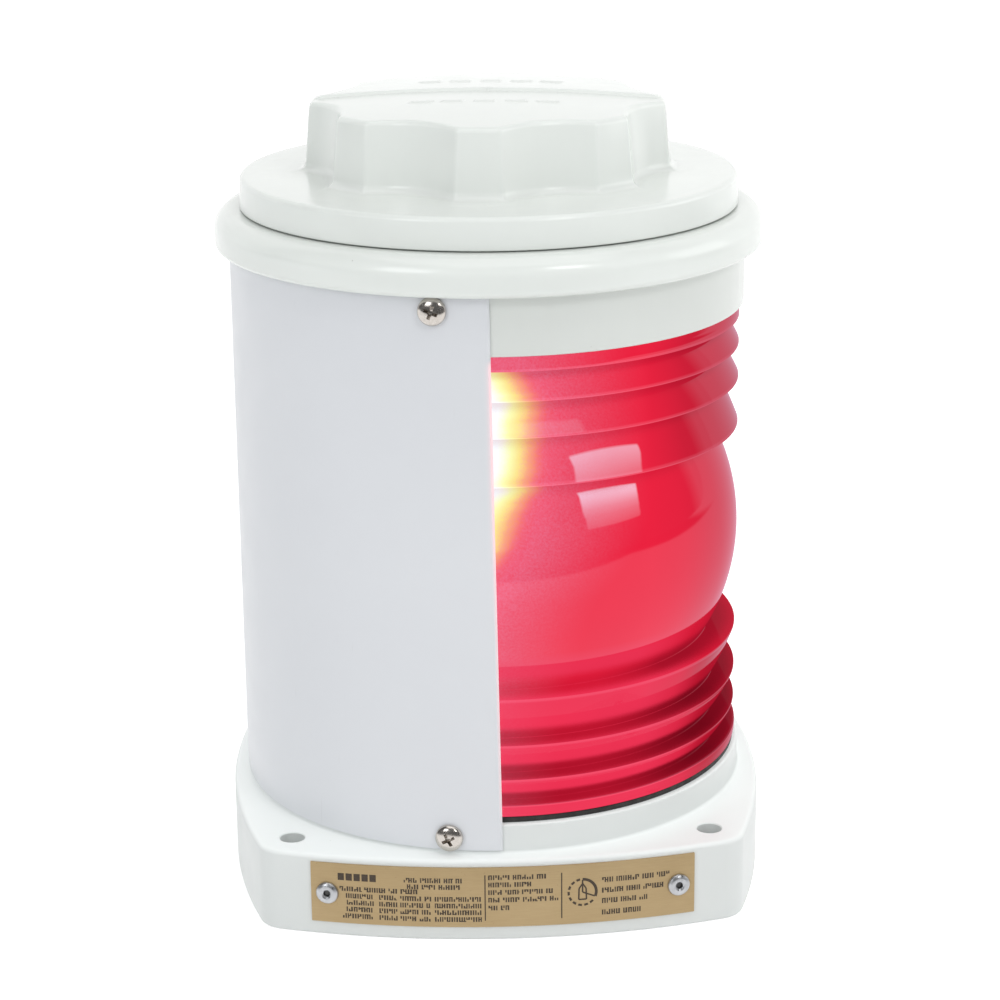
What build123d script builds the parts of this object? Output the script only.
from build123d import *
import math
import os

# Port side navigation light with a 112.5 degree open sector, for a flat deck or bracket.
# Units are millimetres. +Z is up, the origin is the centre of the base's underside, and the
# nameplate side of the base faces -Y (the front). Angles are in degrees, measured from the
# front towards +X, seen from above. Outlines of turned pieces are lists of (radius, z).

FIT = 0.02                  # gap between pieces that lie on each other
SIDES = (-1, 1)

# Base: square plan with four bowed sides and rounded corners
BASE_HALF = 71.5            # centre to the middle of a side
BASE_SIDE_R = 190.0         # bow radius of each side
BASE_SIDE_C = BASE_SIDE_R - BASE_HALF   # distance of each bow's centre from the axis
BASE_CORNER_R = 8.0
BASE_H = 22.0
BASE_WALL = 3.6
BASE_WEB = 4.0              # thickness of the deck
CEILING = BASE_H - BASE_WEB  # underside of the deck
BASE_BITE = 0.4             # overlap of ribs and posts into wall and deck
BASE_TOP_FILLET = 1.4
BASE_BOT_FILLET = 0.9
HOLE_HALF = 53.975          # mounting holes on a 107.95 square
HOLE_R = 3.2
POST_R = 8.2                # post round each mounting hole
RIB_COUNT = 8
RIB_L, RIB_W, RIB_H = 56.0, 2.4, 8.2
RIB_MID_R = 39.0
RIB_BOT = 9.6
BOSS_R = 66.8               # ring on the base that carries the lens
BOSS_IN_R = 56.8
BOSS_TOP = 29.7
REG_R = 58.7                # register ring inside the lens bore
REG_H = 4.3
CABLE_R = 7.0               # cable entry through the deck
CABLE_WELL_R = 8.6          # open well below it
CABLE_WELL_OUT_R = 11.4

# Nameplate, bent to the front of the base
PLATE_W = 99.0
PLATE_Z0 = 3.9
PLATE_Z1 = 20.3
PLATE_T = 0.5
PLATE_HOLE_R = 1.4
PLATE_RIVET_X = 45.2        # measured along the bow
PLATE_RIVET_Z = (PLATE_Z0 + PLATE_Z1) / 2
RIVET_HOLE_R = 1.35         # in the base wall

# Lens
LENS_C = 90.85              # focal plane height
LENS_BOT = 31.5
LENS_TOP = 153.5
LENS_SEAT_R = 59.0          # bore at both ends
LENS_IN_R = 56.5            # bore between them
LENS_MAX_R = 65.8           # middle of the bull's-eye
LENS_EDGE_R = 65.6          # sharp edges of the rings
LENS_FOOT_R = 65.7
LENS_BAND_R = LENS_EDGE_R + 0.35    # upper edge of the foot band
LENS_NECK_R = 63.4          # top of the lens, inside the collar
LENS_BULL_R = 54.7
LENS_BULL_HALF = 27.8       # half height of the bull's-eye
LENS_EDGES = [LENS_BULL_HALF, 40.2, 49.45]  # offsets of the sharp edges from the focal plane
LENS_CREASES = [60.0, 60.3, 61.2]           # crease radius of each ring, middle outwards
LENS_LOW = 56.45            # offset of the last crease below
LENS_HIGH = 57.05           # and above
LENS_LAND = 0.35            # flat at each sharp edge
LENS_RING_SAG = 0.25
LENS_BAND_SAG = 0.1

# Collar
COL_R = BOSS_R
COL_BOT = 151.9
COL_SEAT = 155.3
RIM_BOT = 167.2
RIM_R = 71.5
COL_TOP = 177.2
COL_BORE_R = 50.6
COL_LENS_R = 63.9           # clear of the lens neck

# Cap
CAP_BOT = 177.5
CAP_DISC_R = 64.9
CAP_DISC_TOP = 185.6
CAP_DISC_PEAK = CAP_DISC_TOP + 0.9      # the disc rises towards the knob
KNOB_R = 47.6               # at the foot
KNOB_TOP = 203.8
KNOB_DRAFT = 4.6            # degrees
KNOB_LOBES = 8
KNOB_TURN = -4.5            # rest angle of the knob, from where the thread stops
KNOB_HOLLOW_R = 38.2
KNOB_HOLLOW_TOP = 198.6
FLUTE_R = 24.3
FLUTE_CENTRE_R = 67.0
CROWN_SAG = 2.3             # rise of the crown over CROWN_HALF
CROWN_HALF = 46.5
BLADE_SAG = CROWN_SAG + 0.7  # the same for the rib across the crown
BLADE_T = 2.6
SKIRT_R = 48.6
SKIRT_IN_R = 45.2
SKIRT_BOT = 163.1
GROOVE_IN_R = 53.4          # gasket groove under the disc
GROOVE_OUT_R = 59.6
GROOVE_DEPTH = 1.5
GROOVE_GAP = 0.1            # radial play of the gasket

# Thread between cap and collar
LEAD = 6.0
MALE_CREST_R = 50.1
FEMALE_CREST_R = 49.1
THREAD_Z = 166.2            # centre of the cap's ridge where it starts
THREAD_START = 20.0         # turn of both threads about Z
THREAD_ROOT = 2.5           # ridge width at the wall
THREAD_CREST = 1.3
THREAD_EMBED = 0.5
MALE_TURNS = 1.15
FEMALE_TURNS = 1.9

# Screen
SCREEN_IN_R = 66.9
SCREEN_T = 1.0
SCREEN_BOT = 23.1
SCREEN_TOP = 166.9
SECTOR = 112.5              # open sector, from the front towards +X
SCREEN_END = 362.0          # untrimmed front edge, past the front
SCREEN_LEAN = 2.1           # the front edge of the sheet leans this much from foot to top
SCREEN_HOLE_R = 1.9
PILOT_R = 1.45
LOW_Z, HIGH_Z = 26.6, 163.5
# screen screws: angle, z, turn of the recess; every other one is in the base, the rest in
# the collar
SCREEN_SCREWS = (
    (-11.5, LOW_Z, 28), (-13.4, HIGH_Z, -20),
    (124.0, LOW_Z, 10), (124.0, HIGH_Z, 61),
    (236.25, LOW_Z, 5), (236.25, HIGH_Z, -33),
)

# Tie screws: base to collar, behind the screen
TIE_ANGLES = (150.0, 225.0, 300.0)
TIE_R = 53.6
TIE_HEAD_CLEAR_R = 6.4
TIE_BASE_HOLE_R = 2.3
TIE_COLLAR_HOLE_R = 2.1
WASHER_T = 1.0

# Socket
BR_T = 1.5                  # sheet thickness of the bracket
BR_TOP = 45.5
BR_BOT = BASE_H + FIT
BR_HALF = 22.5              # centre to the outside of a leg
BR_DEPTH = 24.0
BR_FOOT_X = 29.0            # middle of each foot
BR_FOOT_L = 14.5
BR_BORE_R = 8.6
BR_SCREW_X = 29.5
BR_WINDOW_Z = 33.5
SOCKET_RIVET_X = 11.4
SOCKET_RIVET_HOLE_R = 1.3
CONTACT_Y = 3.75            # the two contacts, in front of and behind the axis
SHELL_IN_R = 7.7
SHELL_R = 8.3
SHELL_LIP_R = 6.95          # inward lip at the foot
FLANGE_R = 14.2
PIN_Z = 59.25               # bayonet pins
PUSH = 2.0                  # lamp travel against its spring
TURN = 22.0                 # bayonet turn
SLOT_HALF = 10.0            # half width of a pin slot, degrees
SPRING_PITCH = 1.75
SPRING_R = 6.55
SPRING_WIRE_R = 0.4
SPRING_BOT, SPRING_TOP = 42.45, 48.15

# Lamp
BULB_R = 12.7
BULB_C = 89.5
GLASS_T = 0.7
GLASS_NECK_R = 6.9
GLASS_BOT = 60.0
PIN_R = 0.98
PIN_L = 1.6
PIN_MID_R = 7.9
SUPPORT_R = 0.35
FILAMENT_R = 0.85
FILAMENT_WIRE_R = 0.14
FILAMENT_PITCH = 0.75
FILAMENT_TURNS = 12

# Wiring
LEAD_R = 1.05
SLEEVE_R, SLEEVE_IN_R, SLEEVE_L = 2.1, 1.2, 16.0
# centre line (x, y, z) of the first lead; the second is turned half round about Z
LEAD_POINTS = [
    (0, 3.75, 36.0), (0.9, 1.5, 27.0), (1.35, 0.1, 19.5), (1.5, 0.1, 14.0),
    (4.6, 2.2, 8.4), (13.5, 6.6, 5.4), (26.0, 13.6, 4.7), (38.0, 24.0, 4.4),
]

os.makedirs("parts", exist_ok=True)


# --- Helpers ---------------------------------------------------------------

def at(angle, radius):
    """x and y of a point at an angle from the front."""
    a = math.radians(angle)
    return radius * math.sin(a), -radius * math.cos(a)


def out_plane(angle, radius, z, centre_y=0.0):
    """Plane whose normal points outwards at the angle, local y up."""
    x, y = at(angle, 1)
    return Plane(origin=(radius * x, centre_y + radius * y, z), x_dir=(-y, x, 0), z_dir=(x, y, 0))


def plate_plane(x, z, depth):
    """Plane on the bowed front at arc position x; depth is along the outward normal."""
    return out_plane(math.degrees(x / BASE_SIDE_R), BASE_SIDE_R + depth, z, BASE_SIDE_C)


def outline(points):
    return make_face(Polyline(*points, close=True))


def spin(points):
    """Solid of revolution about Z from an (r, z) outline."""
    return revolve(Plane.XZ * outline(points), axis=Axis.Z)


def box_points(r0, r1, z0, z1):
    return [(r0, z0), (r1, z0), (r1, z1), (r0, z1)]


def ring(r0, r1, z0, z1):
    return spin(box_points(r0, r1, z0, z1))


def rod(radius, z0, z1, x=0.0, y=0.0):
    return Pos(x, y, (z0 + z1) / 2) * Cylinder(radius, z1 - z0)


def bore(plane, radius, length):
    """Round cutter that starts on the plane and runs along its normal."""
    return plane * extrude(Circle(radius), length)


def pilot_hole(angle, z):
    """Cutter for a screen screw's hole in the base ring or the collar."""
    return bore(out_plane(angle, BOSS_R - 8.4, z), PILOT_R, 12)


def sector(r0, r1, z0, z1, start, end):
    """Part of a ring from one angle to another."""
    x, y = at(start, 1)
    plane = Plane(origin=(0, 0, 0), x_dir=(x, y, 0), z_dir=(y, -x, 0))
    face = plane * outline(box_points(r0, r1, z0, z1))
    return revolve(face, axis=Axis.Z, revolution_arc=end - start)


def round_sweep(path, radius, frenet=False):
    section = Plane(origin=path @ 0, z_dir=path % 0) * Circle(radius)
    return sweep(section, path=path, is_frenet=frenet)


def circles(body, radius, z):
    """Circular edges of a given radius at a given height."""
    return [e for e in body.edges().filter_by(GeomType.CIRCLE)
            if abs(e.radius - radius) < 0.05 and abs(e.center().Z - z) < 0.05]


def try_fillet(shape, edges, radii):
    """Fillet with the first radius that gives a sound solid; else the shape is kept."""
    for radius in radii:
        try:  # the kernel raises an error where a radius doesn't fit
            out = fillet(edges, radius)
            if out.is_valid and len(out.solids()) == len(shape.solids()):
                return out
        except Exception:
            pass
    return shape


def save(name, *shapes):
    solids = [solid for shape in shapes for solid in shape.solids()]
    if len(solids) == 1:
        body = solids[0]
    else:
        body = Compound(children=[Solid(solid.wrapped) for solid in solids])
    export_step(body, f"parts/{name}.step")


CORNERS = [(sx * HOLE_HALF, sy * HOLE_HALF) for sx in SIDES for sy in SIDES]
TIE_SPOTS = [at(angle, TIE_R) for angle in TIE_ANGLES]


# --- Base and nameplate ----------------------------------------------------

def base_plan(offset=0.0):
    """Bowed square as a face; offset < 0 makes it smaller all round."""
    c = BASE_SIDE_C
    discs = [Pos(x, y) * Circle(BASE_SIDE_R + offset)
             for x, y in ((c, 0), (-c, 0), (0, c), (0, -c))]
    square = discs[0] & discs[1] & discs[2] & discs[3]
    return fillet(square.vertices(), BASE_CORNER_R + offset)


def base_inside():
    """Posts, ribs and tubes under the deck, trimmed to the hollow."""
    top = CEILING + BASE_BITE
    first, *others = [rod(POST_R, 0.0, top, x, y) for x, y in CORNERS]
    inside = sum(others, first)
    for k in range(RIB_COUNT):
        turn = Rot(0, 0, 360 / RIB_COUNT * (k + 0.5))
        rib = turn * Pos(RIB_MID_R, 0, 0) * Box(RIB_L, RIB_W, RIB_H)
        inside += Pos(0, 0, RIB_BOT + RIB_H / 2) * rib
    inside += ring(CABLE_WELL_R, CABLE_WELL_OUT_R, RIB_BOT, top)
    for side in SIDES:
        inside += rod(4.6, 8.6, top, side * BR_SCREW_X, 0)
    return inside & extrude(base_plan(BASE_BITE - BASE_WALL), top)


def make_base():
    body = extrude(base_plan(), BASE_H)
    top = body.faces().sort_by(Axis.Z)[-1]
    body = try_fillet(body, top.edges(), (BASE_TOP_FILLET, 1.0))
    bottom = body.faces().sort_by(Axis.Z)[0]
    body = try_fillet(body, bottom.edges(), (BASE_BOT_FILLET, 0.5))
    # ring that carries the lens gasket, with its register
    reg_top = BOSS_TOP + REG_H
    body += spin([
        (BOSS_IN_R, CEILING), (BOSS_R, CEILING),
        (BOSS_R, BOSS_TOP - 0.5), (BOSS_R - 0.5, BOSS_TOP),
        (REG_R, BOSS_TOP), (REG_R, reg_top - 0.6),
        (REG_R - 0.6, reg_top), (BOSS_IN_R, reg_top),
    ])
    body = try_fillet(body, circles(body, BOSS_R, BASE_H), (1.05, 0.9))
    # hollow underside
    body -= extrude(base_plan(-BASE_WALL), CEILING)
    body += base_inside()
    # the ribs stop short of the tie screw heads
    for x, y in TIE_SPOTS:
        body -= rod(TIE_HEAD_CLEAR_R, 0, CEILING, x, y)
        body -= rod(TIE_BASE_HOLE_R, 0, 40, x, y)
    for x, y in CORNERS:
        body -= rod(HOLE_R, -1, BASE_H + 1, x, y)
    body -= rod(CABLE_R, 9, 40)
    body -= ring(0.0, CABLE_WELL_R, 0, CEILING)
    for side in SIDES:
        body -= rod(1.75, 9.6, 40, side * BR_SCREW_X, 0)
    for angle, z, _ in SCREEN_SCREWS[0::2]:
        body -= pilot_hole(angle, z)
    # rivet holes in the front wall
    for side in SIDES:
        plane = plate_plane(side * PLATE_RIVET_X, PLATE_RIVET_Z, -BASE_WALL - 1)
        body -= bore(plane, RIVET_HOLE_R, BASE_WALL + 3)
    return body


def make_nameplate():
    half = math.degrees(PLATE_W / 2 / BASE_SIDE_R)
    plate = Pos(0, BASE_SIDE_C, 0) * sector(
        BASE_SIDE_R + FIT, BASE_SIDE_R + PLATE_T, PLATE_Z0, PLATE_Z1, -half, half)
    for side in SIDES:
        plate -= bore(plate_plane(side * PLATE_RIVET_X, PLATE_RIVET_Z, -2), PLATE_HOLE_R, 5)
    return plate


def make_nameplate_rivets():
    """Two tubular drive rivets."""
    points = [(0.85, -5.2), (1.3, -5.2), (1.3, 0.03), (2.75, 0.03), (2.95, 0.25),
              (2.7, 0.75), (2.1, 1.1), (1.25, 1.2), (0.85, 0.9)]
    return [plate_plane(side * PLATE_RIVET_X, PLATE_RIVET_Z, PLATE_T) * spin(points)
            for side in SIDES]


# --- Lens and its gaskets --------------------------------------------------

def make_lens():
    """Drum lens: a bull's-eye band, then three prism rings each way.

    Each ring has its sharp edge towards the middle."""
    path = [(LENS_SEAT_R, LENS_BOT)]
    edges = []

    def go(radius, z, sag=0.0):
        """Add an edge to the next point, bulging outwards by sag."""
        (r0, z0), end = path[-1], (radius, z)
        if sag:
            dr, dz = radius - r0, z - z0
            length = math.hypot(dr, dz)
            middle = ((r0 + radius) / 2 + sag * dz / length, (z0 + z) / 2 - sag * dr / length)
            edges.append(ThreePointArc(path[-1], middle, end))
        else:
            edges.append(Line(path[-1], end))
        path.append(end)

    # foot band
    low = LENS_C - LENS_LOW
    go(LENS_FOOT_R, LENS_BOT)
    go(LENS_BAND_R, low - LENS_LAND, LENS_BAND_SAG)
    go(LENS_BAND_R, low)
    # lower rings, from the foot up: crease, land, sharp edge
    crease_z = low
    for offset, crease_r in zip(reversed(LENS_EDGES), reversed(LENS_CREASES)):
        go(crease_r, crease_z)
        crease_z = LENS_C - offset
        go(LENS_EDGE_R, crease_z - LENS_LAND, LENS_RING_SAG)
        go(LENS_EDGE_R, crease_z)
    # bull's-eye
    bull_sag = LENS_BULL_HALF ** 2 / (2 * LENS_BULL_R)
    go(LENS_MAX_R - bull_sag, LENS_C - LENS_BULL_HALF)
    go(LENS_MAX_R - bull_sag, LENS_C + LENS_BULL_HALF, bull_sag)
    # upper rings: sharp edge, land, crease
    creases = zip(LENS_EDGES, LENS_CREASES, LENS_EDGES[1:] + [LENS_HIGH])
    for offset, crease_r, crease_offset in creases:
        go(LENS_EDGE_R, LENS_C + offset)
        go(LENS_EDGE_R, LENS_C + offset + LENS_LAND)
        go(crease_r, LENS_C + crease_offset, LENS_RING_SAG)
    go(LENS_EDGE_R, LENS_C + LENS_HIGH)
    go(LENS_EDGE_R, LENS_C + LENS_HIGH + LENS_LAND)
    # top band and neck
    go(65.2, COL_BOT - 0.5, LENS_BAND_SAG)
    go(LENS_NECK_R, COL_BOT - 0.2)
    go(LENS_NECK_R, LENS_TOP)
    # inside: seats at both ends, thicker between
    go(LENS_SEAT_R, LENS_TOP)
    go(LENS_SEAT_R, 150.2)
    go(LENS_IN_R, 147.6)
    go(LENS_IN_R, 37.4)
    go(LENS_SEAT_R, 34.8)
    go(LENS_SEAT_R, LENS_BOT)
    return revolve(Plane.XZ * make_face(edges), axis=Axis.Z)


def make_lens_lower_gasket():
    return ring(59.4, 65.5, BOSS_TOP + FIT, LENS_BOT - FIT)


def make_lens_upper_gasket():
    return ring(59.2, LENS_NECK_R, LENS_TOP + FIT, COL_SEAT - FIT)


# --- Collar and cap --------------------------------------------------------

def thread(wall_r, crest_r, z, turns):
    """A ridge of trapezoid section wound on a cylinder, towards its crest radius."""
    helix = Helix(pitch=LEAD, height=LEAD * turns, radius=wall_r)
    path = Pos(0, 0, z) * Rot(0, 0, THREAD_START) * helix
    start = path @ 0
    outwards = Vector(start.X, start.Y, 0).normalized()
    sign = 1 if crest_r > wall_r else -1
    height = abs(crest_r - wall_r)
    root, crest = THREAD_ROOT / 2, THREAD_CREST / 2
    plane = Plane(origin=start, x_dir=outwards * sign, z_dir=path % 0)
    section = plane * outline([
        (-THREAD_EMBED, -root - 0.2), (0, -root), (height, -crest),
        (height, crest), (0, root), (-THREAD_EMBED, root + 0.2),
    ])
    return sweep(section, path=path, is_frenet=True)


def make_collar():
    body = spin([
        (COL_BORE_R, COL_SEAT), (BOSS_IN_R, COL_SEAT), (BOSS_IN_R, COL_BOT - 0.8),
        (REG_R - 0.6, COL_BOT - 0.8), (REG_R, COL_BOT - 0.2), (REG_R, COL_SEAT),
        (COL_LENS_R, COL_SEAT), (COL_LENS_R, COL_BOT), (COL_R - 0.4, COL_BOT),
        (COL_R, COL_BOT + 0.4), (COL_R, RIM_BOT), (RIM_R, RIM_BOT), (RIM_R, COL_TOP),
        (COL_BORE_R + 0.8, COL_TOP), (COL_BORE_R, COL_TOP - 0.8),
    ])
    body = try_fillet(body, circles(body, RIM_R, COL_TOP), (6.8, 6.4, 5.6))
    body = try_fillet(body, circles(body, RIM_R, RIM_BOT), (1.6, 1.4))
    body += thread(COL_BORE_R, FEMALE_CREST_R, THREAD_Z - LEAD / 2, FEMALE_TURNS)
    for x, y in TIE_SPOTS:
        body -= rod(TIE_COLLAR_HOLE_R, 140, 170.0, x, y)
    for angle, z, _ in SCREEN_SCREWS[1::2]:
        body -= pilot_hole(angle, z)
    return body


def crown_radius(sag):
    return (CROWN_HALF ** 2 + sag ** 2) / (2 * sag)


def make_knob():
    """Tapered, fluted knob with a crowned top."""
    height = KNOB_TOP + 5.0 - CAP_DISC_TOP
    mid_z = CAP_DISC_TOP - 2.0 + height / 2
    taper = height * math.tan(math.radians(KNOB_DRAFT))
    knob = Pos(0, 0, mid_z) * Cone(KNOB_R, KNOB_R - taper, height)
    for k in range(KNOB_LOBES):
        x, y = at(360 / KNOB_LOBES * (k + 0.5) + KNOB_TURN, FLUTE_CENTRE_R)
        knob -= Pos(x, y, mid_z) * Cone(FLUTE_R, FLUTE_R + taper, height + 2)
    radius = crown_radius(CROWN_SAG)
    knob &= Pos(0, 0, KNOB_TOP + CROWN_SAG - radius) * Sphere(radius)
    upright = knob.edges().filter_by(
        lambda e: abs(e.center().Z - 195) < 5 and e.bounding_box().size.Z > 10)
    knob = try_fillet(knob, upright, (1.0, 0.6))
    top = knob.edges().filter_by(
        lambda e: e.center().Z > KNOB_TOP - 2.0 and e.bounding_box().size.Z < 2.2)
    return try_fillet(knob, top, (1.6, 1.2, 0.9, 0.6))


def make_blade():
    """Rib across the crown, along X."""
    radius = crown_radius(BLADE_SAG)
    blade = Pos(0, 0, KNOB_TOP - 0.2 + BLADE_SAG - radius) * Rot(90, 0, 0) * Cylinder(
        radius, BLADE_T)
    blade &= Pos(0, 0, KNOB_TOP + 4) * Box(2 * CROWN_HALF - 3.0, 10, 12)
    crest = blade.edges().filter_by(lambda e: e.center().Z > KNOB_TOP + 1 and e.length > 60)
    return try_fillet(blade, crest, (0.9, 0.6))


def make_cap():
    knob = make_knob()
    # disc, a little conical on top
    disc = spin([
        (0, CAP_BOT), (CAP_DISC_R - 0.5, CAP_BOT), (CAP_DISC_R, CAP_BOT + 0.5),
        (CAP_DISC_R - 0.35, CAP_DISC_TOP - 1.2), (CAP_DISC_R - 0.75, CAP_DISC_TOP - 0.35),
        (CAP_DISC_R - 1.6, CAP_DISC_TOP), (KNOB_R - 6, CAP_DISC_PEAK), (0, CAP_DISC_PEAK),
    ])
    body = disc + knob
    foot = body.edges().filter_by(
        lambda e: CAP_DISC_TOP + 0.2 < e.center().Z < CAP_DISC_TOP + 1.4
        and e.bounding_box().size.Z < 1.5
        and math.hypot(e.center().X, e.center().Y) < KNOB_R + 1)
    body = try_fillet(body, foot, (2.2, 1.6, 1.0))
    body += Rot(0, 0, KNOB_TURN) * make_blade()
    # hollow knob and threaded skirt
    body -= rod(KNOB_HOLLOW_R, CAP_BOT - 1, KNOB_HOLLOW_TOP)
    body += ring(SKIRT_IN_R, SKIRT_R, SKIRT_BOT, CAP_BOT + 0.5)
    body -= ring(GROOVE_IN_R, GROOVE_OUT_R, CAP_BOT - 1, CAP_BOT + GROOVE_DEPTH)
    body += thread(SKIRT_R, MALE_CREST_R, THREAD_Z, MALE_TURNS)
    return body


def make_cap_gasket():
    return ring(GROOVE_IN_R + GROOVE_GAP, GROOVE_OUT_R - GROOVE_GAP,
                COL_TOP + FIT, CAP_BOT + GROOVE_DEPTH - FIT)


# --- Screen and screws -----------------------------------------------------

def make_light_screen():
    sheet = sector(SCREEN_IN_R, SCREEN_IN_R + SCREEN_T, SCREEN_BOT, SCREEN_TOP,
                   SECTOR, SCREEN_END)
    # trim the front edge to its lean, 3 mm past both ends
    extra = 3 * SCREEN_LEAN / (SCREEN_TOP - SCREEN_BOT)
    trim = Plane.XZ * outline([
        (extra, SCREEN_BOT - 3), (6, SCREEN_BOT - 3),
        (6, SCREEN_TOP + 3), (-SCREEN_LEAN - extra, SCREEN_TOP + 3),
    ])
    sheet -= extrude(trim, SCREEN_IN_R + 6)
    for angle, z, _ in SCREEN_SCREWS:
        sheet -= bore(out_plane(angle, SCREEN_IN_R - 2, z), SCREEN_HOLE_R, 5)
    return sheet


def pan_head(shank_r, shank_len, head_r, head_h):
    """Cross recess screw, pointing down -Z, underside of the head at z = 0."""
    screw = spin([
        (0, -shank_len), (shank_r * 0.75, -shank_len), (shank_r, -shank_len + shank_r * 0.5),
        (shank_r, 0), (head_r, 0), (head_r, head_h * 0.35), (head_r * 0.93, head_h * 0.68),
        (head_r * 0.74, head_h * 0.9), (head_r * 0.45, head_h), (0, head_h),
    ])
    width, length, depth = head_r * 0.2, head_r * 1.08, head_h * 1.3
    cut = Pos(0, 0, head_h) * (Box(length, width, depth) + Box(width, length, depth))
    cut += Pos(0, 0, head_h * 0.75) * Rot(0, 0, 45) * Box(width * 1.9, width * 1.9, head_h * 0.9)
    return screw - cut


def make_screen_screws():
    radius = SCREEN_IN_R + SCREEN_T + FIT
    return [out_plane(angle, radius, z) * Rot(0, 0, turn)
            * pan_head(shank_r=1.42, shank_len=7.6, head_r=3.6, head_h=2.3)
            for angle, z, turn in SCREEN_SCREWS]


def make_tie_screws():
    z = CEILING - WASHER_T - 0.05
    return [Pos(x, y, z) * Rot(180, 0, 0)
            * pan_head(shank_r=2.05, shank_len=151.0, head_r=4.1, head_h=2.9)
            for x, y in TIE_SPOTS]


def make_tie_washers():
    top = CEILING - FIT
    return [Pos(x, y, 0) * ring(2.2, 4.8, top - WASHER_T, top) for x, y in TIE_SPOTS]


# --- Socket ----------------------------------------------------------------

def make_bracket():
    """Bridge of bent sheet with two legs and outward feet."""
    body = Pos(0, 0, BR_TOP - BR_T / 2) * Box(2 * BR_HALF, BR_DEPTH, BR_T)
    for side in SIDES:
        body += Pos(side * (BR_HALF - BR_T / 2), 0, (BR_BOT + BR_TOP) / 2) * Box(
            BR_T, BR_DEPTH, BR_TOP - BR_BOT)
        body += Pos(side * BR_FOOT_X, 0, BR_BOT + BR_T / 2) * Box(BR_FOOT_L, BR_DEPTH, BR_T)
    bends = body.edges().filter_by(Axis.Y).filter_by(
        lambda e: e.center().Z > BR_TOP - 0.1 and abs(abs(e.center().X) - BR_HALF) < 0.1)
    body = try_fillet(body, bends, (1.4, 1.0))
    foot_end = BR_FOOT_X + BR_FOOT_L / 2
    corners = body.edges().filter_by(Axis.Z).filter_by(
        lambda e: abs(abs(e.center().X) - foot_end) < 0.1)
    body = try_fillet(body, corners, (4.0, 3.0))
    body -= rod(BR_BORE_R, 30, 50)
    for side in SIDES:
        body -= rod(2.2, 15, 30, side * BR_SCREW_X, 0)
        body -= rod(SOCKET_RIVET_HOLE_R, 40, 50, side * SOCKET_RIVET_X, 0)
    # window in each leg
    window = extrude(RectangleRounded(11.0, 12.0, 2.0), 60, both=True)
    body -= Pos(0, 0, BR_WINDOW_Z) * Rot(0, 90, 0) * window
    return body


def make_bracket_screws():
    z = BR_BOT + BR_T + FIT
    return [Pos(side * BR_SCREW_X, 0, z) * Rot(0, 0, 20 * side)
            * pan_head(shank_r=1.7, shank_len=12.6, head_r=3.9, head_h=2.6)
            for side in SIDES]


def make_socket_shell():
    shell = spin([
        (SHELL_LIP_R, 37.2), (SHELL_R, 37.2), (SHELL_R, 45.54), (FLANGE_R, 45.54),
        (FLANGE_R, 46.3), (SHELL_R, 46.3), (SHELL_R, 62.2), (SHELL_R + 0.45, 62.7),
        (SHELL_R + 0.1, 63.0), (SHELL_IN_R, 62.7), (SHELL_IN_R, 38.02), (SHELL_LIP_R, 38.02),
    ])
    # flats on the flange
    for side in (1, -1):
        shell -= Pos(0, side * 13.0, 46) * Box(40, 6.0, 4)
    # bayonet slots: one runs round, the other runs up to the open end
    slot_bot = PIN_Z - 1.0 - PUSH - 0.25
    for start in (90, 270):
        end = start + TURN
        shell -= sector(6.0, 9.5, slot_bot, PIN_Z + 1.25, start - SLOT_HALF, end + SLOT_HALF)
        shell -= sector(6.0, 9.5, slot_bot, 66, end - SLOT_HALF, end + SLOT_HALF)
    for side in SIDES:
        shell -= rod(SOCKET_RIVET_HOLE_R, 44, 48, side * SOCKET_RIVET_X, 0)
    return shell


def make_socket_rivets():
    points = [(0, 43.0), (1.6, 43.0), (2.2, 43.5), (2.2, 43.98), (1.2, 43.98), (1.2, 46.32),
              (2.2, 46.32), (2.0, 46.9), (1.2, 47.3), (0, 47.4)]
    return [Pos(side * SOCKET_RIVET_X, 0, 0) * spin(points) for side in SIDES]


def contact_pair(points):
    """Two turned pieces on the contact centres."""
    return [Pos(0, side * CONTACT_Y, 0) * spin(points) for side in SIDES]


def drill_contacts(body, radius, z0, z1):
    for side in SIDES:
        body -= rod(radius, z0, z1, 0, side * CONTACT_Y)
    return body


def make_socket_insulator():
    body = rod(7.62, 38.04, 42.0) - rod(0.9, 30, 50)
    return drill_contacts(body, 1.65, 30, 50)


def make_contact_plate():
    return drill_contacts(rod(7.45, 48.6, 50.0), 1.3, 40, 55)


def make_contact_plungers():
    return contact_pair([(0, 36.2), (1.1, 36.2), (1.28, 36.6), (1.28, 50.02), (1.9, 50.02),
                         (1.9, 50.3), (1.4, 50.62), (0, 50.66)])


def make_contact_spring():
    helix = Helix(pitch=SPRING_PITCH, height=SPRING_TOP - SPRING_BOT, radius=SPRING_R)
    return round_sweep(Pos(0, 0, SPRING_BOT) * helix, SPRING_WIRE_R, frenet=True)


# --- Lamp ------------------------------------------------------------------

def make_lamp_base():
    """Thin sleeve with two bayonet pins."""
    body = spin([(7.0, 52.6), (7.3, 52.2), (7.5, 52.6), (7.5, 66.2), (7.9, 66.8),
                 (7.6, 67.2), (7.15, 66.9), (7.15, 53.0), (7.0, 53.0)])
    for side in SIDES:
        pin = Pos(0, 0, PIN_MID_R) * Cylinder(PIN_R, PIN_L)
        body += Pos(0, 0, PIN_Z) * Rot(0, side * 90, 0) * pin
    return body


def make_lamp_insulator():
    body = spin([(0, 51.6), (6.2, 51.6), (6.98, 52.3), (6.98, 55.0), (0, 55.0)])
    return drill_contacts(body, 1.7, 50, 56)


def make_lamp_contacts():
    return contact_pair([(0, 50.7), (1.3, 50.9), (1.66, 51.4), (1.66, 55.4), (0, 55.4)])


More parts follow.
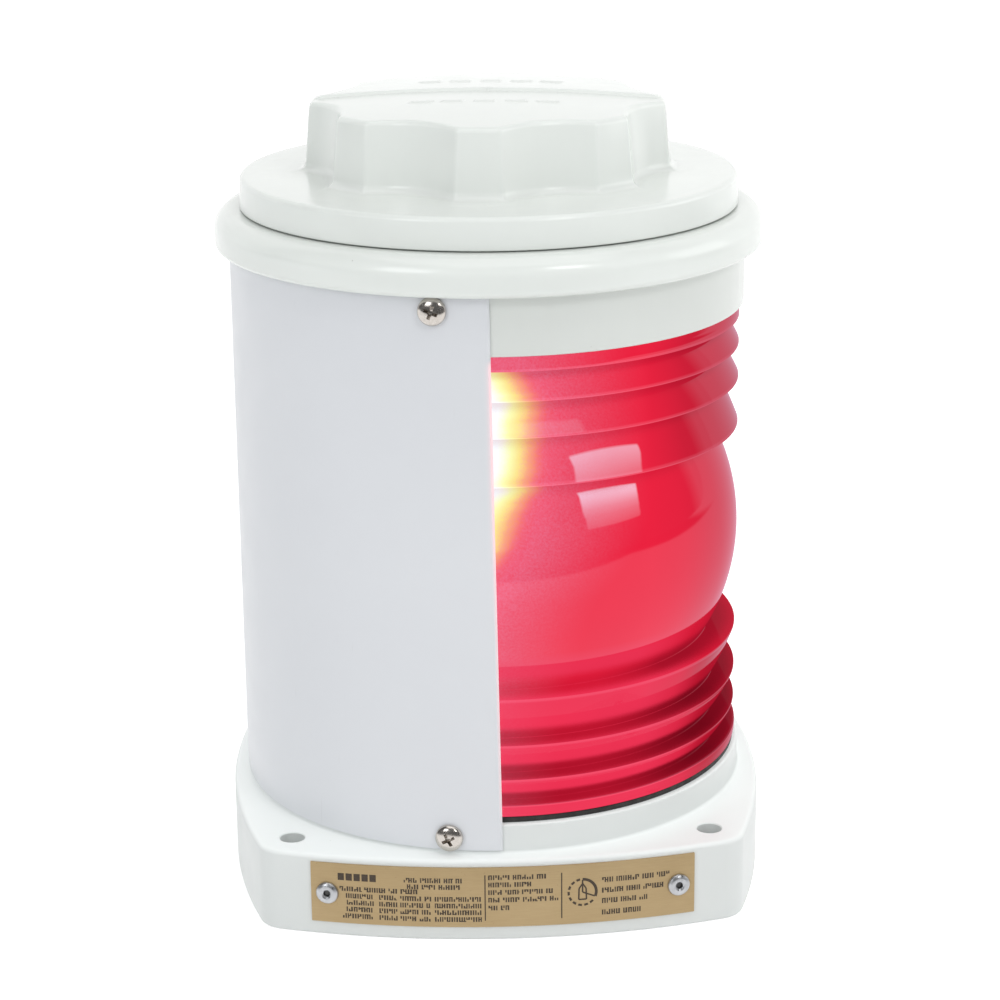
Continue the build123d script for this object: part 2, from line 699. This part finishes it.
def bulb_arc(radius):
    """Start, middle and crown of the bulb's arc, from 50 degrees below its equator."""
    start, middle = [(radius * math.cos(a), BULB_C + radius * math.sin(a))
                     for a in (math.radians(-50), math.radians(20))]
    return start, middle, (0.0, BULB_C + radius)


def make_lamp_glass():
    outer = bulb_arc(BULB_R)
    inner = bulb_arc(BULB_R - GLASS_T)
    neck_in_r = GLASS_NECK_R - GLASS_T
    foot_in, foot_out = (neck_in_r, GLASS_BOT), (GLASS_NECK_R, GLASS_BOT)
    neck_in, neck_out = (neck_in_r, 69.7), (GLASS_NECK_R, 69.5)
    edges = [
        Line(foot_in, foot_out),
        Line(foot_out, neck_out),
        Spline(neck_out, outer[0], tangents=[(0, 1), (0.766, 0.643)]),
        ThreePointArc(*outer),
        Line(outer[2], inner[2]),
        ThreePointArc(inner[2], inner[1], inner[0]),
        Spline(inner[0], neck_in, tangents=[(-0.766, -0.643), (0, -1)]),
        Line(neck_in, foot_in),
    ]
    return revolve(Plane.XZ * make_face(edges), axis=Axis.Z)


def make_lamp_stem():
    return spin([(0, 60.5), (5.4, 60.5), (5.4, 62.0), (3.0, 65.5), (2.2, 68.0),
                 (2.2, 74.5), (1.2, 75.5), (0, 75.6)])


def make_lamp_supports():
    """Two lead-in wires that carry the filament."""
    points = [(1.0, 75.8), (1.5, 78.5), (4.6, 85.4), (5.05, 91.4)]  # x, z
    return [round_sweep(Spline(*[(side * x, 0, z) for x, z in points]), SUPPORT_R)
            for side in SIDES]


def make_lamp_filament():
    """Coil along X at the focal plane."""
    length = FILAMENT_TURNS * FILAMENT_PITCH
    helix = Helix(pitch=FILAMENT_PITCH, height=length, radius=FILAMENT_R)
    path = Pos(0, 0, LENS_C) * Rot(0, 90, 0) * Pos(0, 0, -length / 2) * helix
    return round_sweep(path, FILAMENT_WIRE_R, frenet=True)


# --- Wiring ----------------------------------------------------------------

def lead_path(side):
    return Spline(*[(side * x, side * y, z) for x, y, z in LEAD_POINTS],
                  tangents=[(0, 0, -1), (0.6 * side, 0.8 * side, 0)])


def make_lead(side):
    return round_sweep(lead_path(side), LEAD_R)


def make_wire_connectors():
    """Crimp sleeves on the ends of the two leads."""
    sleeves = []
    for side in (1, -1):
        path = lead_path(side)
        tube = Cylinder(SLEEVE_R, SLEEVE_L) - Cylinder(SLEEVE_IN_R, 20)
        end = Plane(origin=path @ 1, z_dir=path % 1)
        sleeves.append(end * (Pos(0, 0, SLEEVE_L / 2 + 0.05) * tube))
    return sleeves


def make_cable_grommet():
    """Grommet that grips the deck round the cable entry."""
    z0, z1 = CEILING - 0.04, BASE_H + 0.04
    return spin([(3.2, z0 - 2), (8.3, z0 - 2), (8.3, z0), (6.9, z0), (6.9, z1), (8.6, z1),
                 (8.6, z1 + 1.1), (7.6, z1 + 2.1), (4.0, z1 + 2.1), (3.2, z1 + 1.4)])


def main():
    save("base", make_base())
    save("lens_lower_gasket", make_lens_lower_gasket())
    save("lens", make_lens())
    save("lens_upper_gasket", make_lens_upper_gasket())
    save("collar", make_collar())
    save("cap", make_cap())
    save("cap_gasket", make_cap_gasket())
    save("light_screen", make_light_screen())
    save("screen_screws", *make_screen_screws())
    save("nameplate", make_nameplate())
    save("nameplate_rivets", *make_nameplate_rivets())
    save("tie_screws", *make_tie_screws())
    save("tie_washers", *make_tie_washers())
    save("socket_bracket", make_bracket())
    save("bracket_screws", *make_bracket_screws())
    save("socket_shell", make_socket_shell())
    save("socket_rivets", *make_socket_rivets())
    save("socket_insulator", make_socket_insulator())
    save("contact_plate", make_contact_plate())
    save("contact_plungers", *make_contact_plungers())
    save("contact_spring", make_contact_spring())
    save("lamp_base", make_lamp_base())
    save("lamp_insulator", make_lamp_insulator())
    save("lamp_contacts", *make_lamp_contacts())
    save("lamp_glass", make_lamp_glass())
    save("lamp_stem", make_lamp_stem())
    save("lamp_supports", *make_lamp_supports())
    save("lamp_filament", make_lamp_filament())
    save("lead_wire_black", make_lead(1))
    save("lead_wire_white", make_lead(-1))
    save("wire_connectors", *make_wire_connectors())
    save("cable_grommet", make_cable_grommet())


main()
